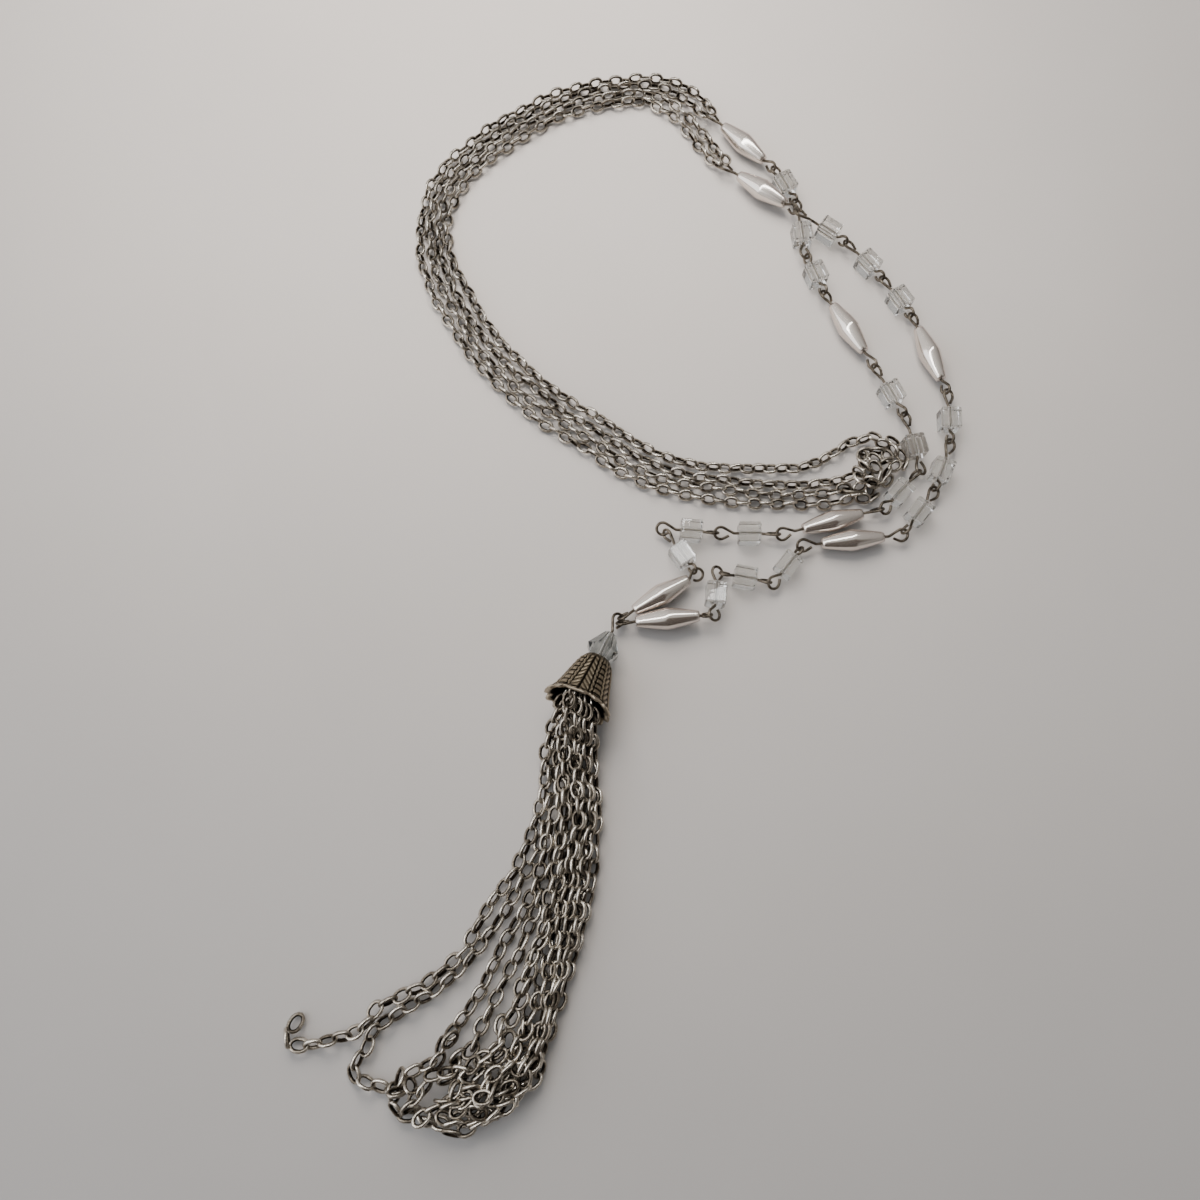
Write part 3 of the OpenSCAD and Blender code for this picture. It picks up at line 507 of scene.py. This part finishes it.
# Runs a tree over routes in mm and gives the plain mesh that comes out
def grown(name, routes, tree, values):
    points, edges = [], []
    for route in routes:
        start = len(points)
        points += [p * mm for p in route]
        edges += [(start + k, start + k + 1) for k in range(len(route) - 1)]
    paths = bpy.data.meshes.new(name + "Paths")
    paths.from_pydata(points, edges, [])
    carrier = bpy.data.objects.new(name + "Carrier", paths)
    scene.collection.objects.link(carrier)
    modifier = carrier.modifiers.new("grow", "NODES")
    modifier.node_group = tree
    for item in tree.interface.items_tree:
        if item.in_out == "INPUT" and item.name in values:
            modifier[item.identifier] = values[item.name]
    mesh = bpy.data.meshes.new_from_object(carrier.evaluated_get(bpy.context.evaluated_depsgraph_get()))
    mesh.name = name
    bpy.data.objects.remove(carrier)
    mesh.materials.clear()
    mesh.materials.append(values["Metal"])
    print(name, "grown,", len(mesh.polygons), "faces")
    return mesh


neckLink = {"Pitch": 3.25 * mm, "Link Length": 4.8 * mm, "Link Width": 3.5 * mm, "Wire": 0.92 * mm,
            "Lean": 0.45, "Lean Spread": 2.6, "Clearance": 0.48 * mm, "Metal": agedSilver}
tasselLink = {"Pitch": 3.6 * mm, "Link Length": 5.3 * mm, "Link Width": 3.9 * mm, "Wire": 1.0 * mm,
              "Lean": 0.5, "Lean Spread": 3, "Clearance": 0.56 * mm, "Metal": agedSilver}

for seed, (strand, route) in enumerate(neckRoutes.items()):
    mesh = grown("neckChain" + strand, [route], linkTree, dict(neckLink, Seed=3 + seed))
    newPiece("neckChain" + strand, mesh, "neck_chain_" + strand.lower())
mesh = grown("tasselChains", tasselRoutes, linkTree, dict(tasselLink, Seed=9))
newPiece("tasselChains", mesh, "tassel_chains")


# The eye pins: wire with an open eye at each end, in two sizes
pin = {"wire": 0.8, "flatEye": 1.7, "uprightEye": 1.4, "gap": 0.2, "beadGap": 0.3, "longestEye": 3.6,
       "steps": 26, "roll": 28, "shade": 0.34}  # mm, except steps, degrees of roll and how tarnished it is
pinValues = {"Wire": pin["wire"] * mm, "Shade": pin["shade"], "Metal": agedSilver}


# An open eye in its own plane, from its neck at -reach round to its free end
def eyeOutline(r, reach):
    a0 = math.pi - math.acos(r / reach)
    a1 = min(a0, math.pi - math.asin((pin["wire"] + pin["gap"]) / r))
    outline = [(-reach, 0)]
    for k in range(pin["steps"] + 1):
        a = a0 - (a0 + a1) * k / pin["steps"]
        outline.append((r * math.cos(a), r * math.sin(a)))
    sideways = r * math.sin(a0)
    stop = 1 - (pin["wire"] + 2 * pin["gap"]) * r / (2 * sideways * sideways)
    if stop > 0.1 and a1 == a0:
        leave = (r * math.cos(a0), -sideways)
        outline.append((leave[0] + stop * (-reach - leave[0]), leave[1] - stop * leave[1]))
    return outline


def pinEye(middle, out, across, up, flat, room):
    r = pin["flatEye"] if flat else pin["uprightEye"]
    reach = max(1.1 * r, min(pin["longestEye"], room))
    return [middle + x * out + y * (across if flat else up) for x, y in eyeOutline(r, reach)]


# A pin from one link to the next, through its bead
def pinRoute(start, end, flatStart, flatEnd, beadAt, beadLength):
    b = (end - start).normalized()
    across = Matrix.Rotation(math.radians(pin["roll"]), 3, b) @ Vector((0, 0, 1)).cross(b).normalized()
    up = b.cross(across)
    offset = pin["flatEye"] - pin["wire"] - pin["gap"] + pin["uprightEye"]
    offStart, offEnd = (0 if flatStart else offset), (0 if flatEnd else offset)
    roomStart = beadAt - beadLength / 2 - pin["beadGap"] - offStart
    roomEnd = (end - start).length - beadAt - beadLength / 2 - pin["beadGap"] - offEnd
    first = pinEye(start + offStart * b, -b, across, up, flatStart, roomStart)
    return first[::-1] + pinEye(end - offEnd * b, b, across, up, flatEnd, roomEnd)


pearlUnits = (0, 4, 8, 12)  # which pins of a strand carry a pearl; the others carry a cube
cube = {"length": 6.2, "width": 5.5, "bevel": 0.35, "hole": 1.3, "chamfer": 0.1}
bicone = {"width": 9.4, "length": 10.4, "lowTable": 1.1, "highTable": 1.75, "facets": 8, "hole": 1.3}
beadPlaces = {}
for strand, rows in (("A", linksA), ("B", linksB)):
    routes = []
    for k in range(len(rows) - 1):
        start, end = Vector(rows[k][:3]), Vector(rows[k + 1][:3])
        beadLength = pearl["length"] if k in pearlUnits else cube["length"]
        routes.append(pinRoute(start, end, rows[k][3] == 1, rows[k + 1][3] == 0, rows[k][4], beadLength))
        b = (end - start).normalized()
        across = Vector((0, 0, 1)).cross(b).normalized()
        beadPlaces[strand, k] = (start + rows[k][4] * b, b, across, b.cross(across))
    mesh = grown("eyePins" + strand, routes, wireTree, pinValues)
    newPiece("eyePins" + strand, mesh, "pins_" + strand.lower())
route = pinRoute(capTop - tassel["lowEyeAt"] * pinDir, tasselEye, False, True,
                 tassel["beadAt"] + tassel["lowEyeAt"], bicone["length"])
mesh = grown("tasselPin", [route], wireTree, pinValues)
newPiece("tasselPin", mesh, "tassel_pin")


# Turns a mesh that stands on Z to three axes, and moves it to its place
def placed(mesh, middle, axes):
    turn = Matrix([axes[0], axes[1], axes[2]]).transposed().to_4x4()
    mesh.transform(Matrix.Translation(middle * mm) @ turn)
    mesh.update()


def pearlMesh(name):
    half, hole, chamfer, steps = pearl["length"] / 2, pearl["hole"] / 2, pearl["chamfer"], pearl["steps"]
    loop = [(hole, -half + chamfer), (hole + chamfer, -half)]
    for k in range(-steps, steps + 1):
        t = abs(k) / steps
        r = pearl["tip"] / 2 + (pearl["width"] - pearl["tip"]) / 2 * (1 - t ** pearl["fullness"])
        loop.append((r - (pearl["tipChamfer"] if abs(k) == steps else 0), half * k / steps))
    loop += [(hole + chamfer, half), (hole, half - chamfer)]
    mesh = turned(name, loop, pearl["sides"])
    smooth(mesh)
    return mesh


number = {"A": 0, "B": 0}
for (strand, k), (middle, b, across, up) in beadPlaces.items():
    if k not in pearlUnits:
        continue
    number[strand] += 1
    mesh = pearlMesh("pearl" + strand + str(number[strand]))
    placed(mesh, middle, (across, up, b))
    mesh.materials.append(pearlCoat)
    newPiece(mesh.name, mesh, "pearl_%s%d" % (strand.lower(), number[strand]))
print("pearls made")


# A drilled block: rings from the hole out to the bevelled faces
def cubeMesh(name):
    half, halfWidth, bevel, hole = cube["length"] / 2, cube["width"] / 2, cube["bevel"], cube["hole"] / 2
    chamfer = cube["chamfer"]

    def square(size, cut, angle):  # distance to a square outline with its corners cut off
        c, s = abs(math.cos(angle)), abs(math.sin(angle))
        return min(size / max(c, s), (2 * size - cut) / (c + s))

    corner = math.atan2(halfWidth - bevel, halfWidth)
    angles = []
    for quarterTurn in range(4):
        base = quarterTurn * math.pi / 2
        angles += [base + corner * k / 3 for k in range(-3, 4)]
    mesh = bmesh.new()
    # room round the hole, or None on the outside; height; whether the ring has the full width
    rows = [(0, -half + chamfer, True), (chamfer, -half, True), (None, -half, False), (None, -half + bevel, True),
            (None, half - bevel, True), (None, half, False), (chamfer, half, True), (0, half - chamfer, True)]
    rings = []
    for extra, z, full in rows:
        ring = []
        for angle in angles:
            size = halfWidth if full else halfWidth - bevel
            r = square(size, bevel if full else bevel * 0.4, angle) if extra is None else hole + extra
            ring.append(mesh.verts.new((r * math.cos(angle) * mm, r * math.sin(angle) * mm, z * mm)))
        rings.append(ring)
    for k in range(len(rings)):
        one, two = rings[k], rings[(k + 1) % len(rings)]
        for j in range(len(angles)):
            face = mesh.faces.new((one[j], one[(j + 1) % len(angles)], two[(j + 1) % len(angles)], two[j]))
            face.material_index = 1 if k == len(rings) - 1 else 0
    bmesh.ops.recalc_face_normals(mesh, faces=mesh.faces)
    done = bpy.data.meshes.new(name)
    mesh.to_mesh(done)
    mesh.free()
    return done


number = {"A": 0, "B": 0}
for (strand, k), (middle, b, across, up) in beadPlaces.items():
    if k in pearlUnits:
        continue
    number[strand] += 1
    mesh = cubeMesh("cube" + strand + str(number[strand]))
    placed(mesh, middle, (across, up, b))
    mesh.materials.append(clearGlass)
    mesh.materials.append(drilledGlass)
    newPiece(mesh.name, mesh, "cube_%s%d" % (strand.lower(), number[strand]))
print("cubes made")

# The cut bead: two cones of flat facets, turned half a facet so that one looks up
half, hole, girdle = bicone["length"] / 2, bicone["hole"] / 2, bicone["width"] / 2
loop = [(hole, -half), (bicone["lowTable"], -half), (girdle, 0), (bicone["highTable"], half), (hole, half)]
mesh = turned("tasselBead", loop, bicone["facets"])
mesh.transform(Matrix.Rotation(math.pi / bicone["facets"], 4, "Z"))
placed(mesh, capTop + tassel["beadAt"] * pinDir, (-pinUp, pinAcross, pinDir))
mesh.materials.append(smokeGlass)
mesh.materials.append(drilledGlass)
for face in list(mesh.polygons)[-bicone["facets"]:]:  # the hole
    face.material_index = 1
newPiece("tasselBead", mesh, "tassel_bead")


# The cap, in mm, and degrees for leafAngle and firstLeaf; scallop and lift shape the rim where two panels meet
cap = {"height": 14.5, "rim": 9.0, "top": 4.3, "flare": 0.9, "turnIn": 0.8, "wall": 1.0, "topHole": 3.0,
       "relief": 0.42, "lip": 0.4, "scallop": 0.75, "scallopWidth": 1.7, "lift": 0.7, "liftWidth": 1.8,
       "leaves": 5, "leafAngle": 46, "firstLeaf": 6.5, "strokePitch": 1.5, "rungs": 7, "firstRung": 1.1,
       "rungPitch": 1.65, "sides": 480, "steps": 100, "innerHeights": (0.7, 1.5, 2.5, 4, 7, 10, 12)}


# A cone that flares at its rim and turns in at its top
def capRadius(h):
    t = h / cap["height"]
    cone = cap["top"] + (cap["rim"] - cap["flare"] - cap["top"]) * (1 - t)
    return cone + cap["flare"] * (1 - t) ** 6 - cap["turnIn"] * t ** 10


def bumpAt(x, width):  # 1 at x = 0, falling softly to 0 at the width
    t = max(0.0, 1 - abs(x) / width)
    return t * t * (3 - 2 * t)


# How far an angle lies along its panel, from 0 to 1, the panel's width in radians, and whether it is a leaf
def panelAt(angle):
    pitch = 360 / cap["leaves"]
    turn = (math.degrees(angle) - cap["firstLeaf"]) % pitch
    if turn < cap["leafAngle"]:
        return turn / cap["leafAngle"], math.radians(cap["leafAngle"]), True
    span = pitch - cap["leafAngle"]
    return (turn - cap["leafAngle"]) / span, math.radians(span), False


# Raised height from 0 to 1 at an angle and a height: ladder panels between leaf panels, and ribs between them
def capRelief(angle, h):
    u, span, onLeaf = panelAt(angle)
    arc = capRadius(h) * span
    edge = min(u, 1 - u) * arc
    off = abs(u - 0.5) * arc
    if onLeaf:
        stroke = 0.5 + 0.5 * math.cos(2 * math.pi * (h + 0.9 * off) / cap["strokePitch"])
        value = 0.38 + 0.55 * stroke * min(1.0, off / 0.5)
        value *= 1 - bumpAt(off, 0.42)
    else:
        rung = (h - cap["firstRung"]) / cap["rungPitch"]
        dash = bumpAt(rung % 1 - 0.5, 0.3) if 0 < rung < cap["rungs"] else 0.0
        value = 0.9 - 0.9 * dash
    rib, groove = bumpAt(edge, 0.34), bumpAt(edge - 0.56, 0.3)
    value = max(value * (1 - groove), 0.9 * rib)
    fade = min(1.0, max(0.0, (cap["height"] - 0.5 - h) / 1.2)) * min(1.0, max(0.0, (h - 0.3) / 0.4))
    return value * fade + 0.5 * (1 - fade)


# The section of the cap, from the hole in its top down the outside and back up the inside
underTop = cap["height"] - 1.4
loop = [(cap["topHole"], underTop), (cap["topHole"], cap["height"] - 0.15), (cap["topHole"] + 0.15, cap["height"])]
firstOut, lastOut = len(loop), len(loop) + cap["steps"] - 1
for k in range(1, cap["steps"] + 1):
    h = cap["height"] * (1 - k / cap["steps"])
    loop.append((capRadius(h), h))
loop += [(cap["rim"] - 0.3, 0.0), (cap["rim"] - cap["wall"] + 0.1, 0.1)]
loop += [(capRadius(h) - cap["wall"], h) for h in (*cap["innerHeights"], underTop)]


# Relief and a lip on the outside, and a rim that is drawn in and lifted where two panels meet
def capShift(row, angle, radius, height):
    u, span = panelAt(angle)[:2]
    fromEdge = min(u, 1 - u) * span * cap["rim"]
    atRim = max(0.0, 1 - height / 3)
    radius -= cap["scallop"] * bumpAt(fromEdge, cap["scallopWidth"]) * atRim
    height += cap["lift"] * bumpAt(fromEdge, cap["liftWidth"]) * atRim * atRim
    if firstOut <= row <= lastOut:
        radius += cap["lip"] * bumpAt(loop[row][1] - 0.35, 0.75)
        radius += cap["relief"] * (capRelief(angle, height) - 0.5) * min(1.0, height / 0.4)
    return radius, height


# Relief and wear tell the material where the wash lies and where it is worn off. The inside of the cap is painted
# almost the colour of the recesses as painted shade, and a ring just above the lip is made darker
mesh = turned("tasselCap", loop, cap["sides"], capShift)
relief = mesh.attributes.new("relief", "FLOAT", "POINT")
wear = mesh.attributes.new("wear", "FLOAT", "POINT")
for k in range(len(mesh.vertices)):
    row, angle = k // cap["sides"], 2 * math.pi * (k % cap["sides"]) / cap["sides"]
    h = loop[row][1]
    if firstOut <= row <= lastOut:
        # A darker ring just above the lip
        relief.data[k].value = capRelief(angle, h) * 0.8 * (1 - 0.9 * bumpAt(h - 1.25, 0.4))
        wear.data[k].value = 0.85 * bumpAt(h - 0.2, 0.95)
    elif row in (lastOut + 1, lastOut + 2):
        relief.data[k].value = 0.6
        wear.data[k].value = 0.8
    else:
        # Painted shade: the inside of the cap is set nearly to the recess colour
        relief.data[k].value = 0.5 if row < firstOut else 0.05
smooth(mesh)
placed(mesh, tasselRim, (-tasselUp, tasselAcross, tasselDir))
mesh.materials.append(agedBronze)
newPiece("tasselCap", mesh, "tassel_cap")
print("cap made")


# Painted board: matt, nearly smooth
board = {"light": "#b8b7b6", "dark": "#b3b2b1", "roughness": 0.7, "size": 3.0}
floorMaterial, tree, shader, output = newMaterial("mattPaintedBoard")
place = addNode(tree, "ShaderNodeTexCoord").outputs["Object"]
clouds = addNode(tree, "ShaderNodeTexNoise", {"Vector": place, "Scale": 9, "Detail": 4})
boardColour = addNode(tree, "ShaderNodeValToRGB", {"Fac": clouds.outputs["Fac"]},
                      stops=[(0.3, toLinear(board["dark"])), (0.7, toLinear(board["light"]))])
tree.links.new(boardColour.outputs["Color"], shader.inputs["Base Color"])
shader.inputs["Roughness"].default_value = board["roughness"]
half = board["size"] / 2
mesh = bpy.data.meshes.new("board")
mesh.from_pydata([(-half, -half, 0), (half, -half, 0), (half, half, 0), (-half, half, 0)], [], [(0, 1, 2, 3)])
mesh.materials.append(floorMaterial)
floor = bpy.data.objects.new("board", mesh)
scene.collection.objects.link(floor)

# place, aim and size in metres, turn of the long side and spread in degrees, power in watts, what sees it
lamps = {
    "window": {"place": (-0.8, -0.12, 0.5), "aim": (0, 0, 0), "size": (1, 0.8), "turn": 90, "power": 3.7,
               "spread": 180, "colour": "#f7f8ff", "seenBy": "all"},
    "ceiling": {"place": (-0.08, 0.28, 0.3), "aim": (-0.02, 0.175, 0), "size": (0.3, 0.3), "turn": 0,
                "power": 1.65, "spread": 118, "colour": "#fff2e6", "seenBy": "matt"},
    "streak": {"place": (-0.06, 0.13, 0.6), "aim": (0.04, 0.03, 0), "size": (1.2, 0.055), "turn": 40,
               "power": 3, "spread": 180, "colour": "#ffffff", "seenBy": "gloss"}}
for name, lamp in lamps.items():
    light = bpy.data.lights.new(name, "AREA")
    light.shape = "RECTANGLE"
    light.size, light.size_y = lamp["size"]
    light.energy = lamp["power"]
    light.color = toLinear(lamp["colour"])[:3]
    light.spread = math.radians(lamp["spread"])
    holder = bpy.data.objects.new(name, light)
    back = (Vector(lamp["place"]) - Vector(lamp["aim"])).normalized()
    turn = math.radians(lamp["turn"])
    across = back.cross(Vector((math.cos(turn), math.sin(turn), 0))).normalized()
    frameOf = Matrix([across.cross(back), across, back]).transposed().to_4x4()
    holder.matrix_world = Matrix.Translation(lamp["place"]) @ frameOf
    holder.visible_diffuse = lamp["seenBy"] != "gloss"
    holder.visible_glossy = lamp["seenBy"] != "matt"
    holder.visible_transmission = lamp["seenBy"] == "all"
    scene.collection.objects.link(holder)

# A pale room, brightest at the left. The metal and the pearls mirror brown furniture near the camera, which
# the camera itself doesn't see. Furniture: direction, and the cosines of the angles where it begins and is full
room = {"dim": "#7d7b79", "pale": "#c4c3c2", "bright": "#ffffff", "brown": "#3d332d", "strength": 0.84,
        "furniture": (((0.26, -0.56, 0.79), 0.82, 0.94), ((0.06, -0.91, 0.42), 0.8, 0.93))}
world = bpy.data.worlds.new("room")
world.use_nodes = True
tree = world.node_tree
tree.nodes.clear()
direction = addNode(tree, "ShaderNodeTexCoord").outputs["Generated"]
leftward = addNode(tree, "ShaderNodeVectorMath", {0: direction, 1: (-0.9, 0, 0.42)}, operation="DOT_PRODUCT")
walls = addNode(tree, "ShaderNodeMapRange", {"Value": leftward.outputs["Value"], "From Min": -0.9, "From Max": 1.0})
walls = addNode(tree, "ShaderNodeValToRGB", {"Fac": walls.outputs["Result"]},
                stops=[(0.1, toLinear(room["dim"])), (0.95, toLinear(room["bright"])),
                       (0.5, toLinear(room["pale"]))])
clear = None
for aim, begins, full in room["furniture"]:
    near = addNode(tree, "ShaderNodeVectorMath", {0: direction, 1: aim}, operation="DOT_PRODUCT")
    near = addNode(tree, "ShaderNodeMapRange", {"Value": near.outputs["Value"], "From Min": begins,
                                               "From Max": full, "To Min": 1.0, "To Max": 0.0},
                   interpolation_type="SMOOTHSTEP").outputs["Result"]
    clear = near if clear is None else addNode(tree, "ShaderNodeMath", {0: clear, 1: near},
                                               operation="MULTIPLY").outputs[0]
shaded = addNode(tree, "ShaderNodeMix", data_type="RGBA")
tree.links.new(clear, shaded.inputs[0])
tree.links.new(walls.outputs["Color"], shaded.inputs[7])
shaded.inputs[6].default_value = toLinear(room["brown"])
seen = addNode(tree, "ShaderNodeLightPath").outputs["Is Camera Ray"]
backdrop = addNode(tree, "ShaderNodeMix", data_type="RGBA")
tree.links.new(seen, backdrop.inputs[0])
tree.links.new(shaded.outputs[2], backdrop.inputs[6])
backdrop.inputs[7].default_value = toLinear(room["pale"])
background = addNode(tree, "ShaderNodeBackground", {"Color": backdrop.outputs[2], "Strength": room["strength"]})
addNode(tree, "ShaderNodeOutputWorld", {"Surface": background.outputs[0]})
scene.world = world
print("floor, lamps and room set")
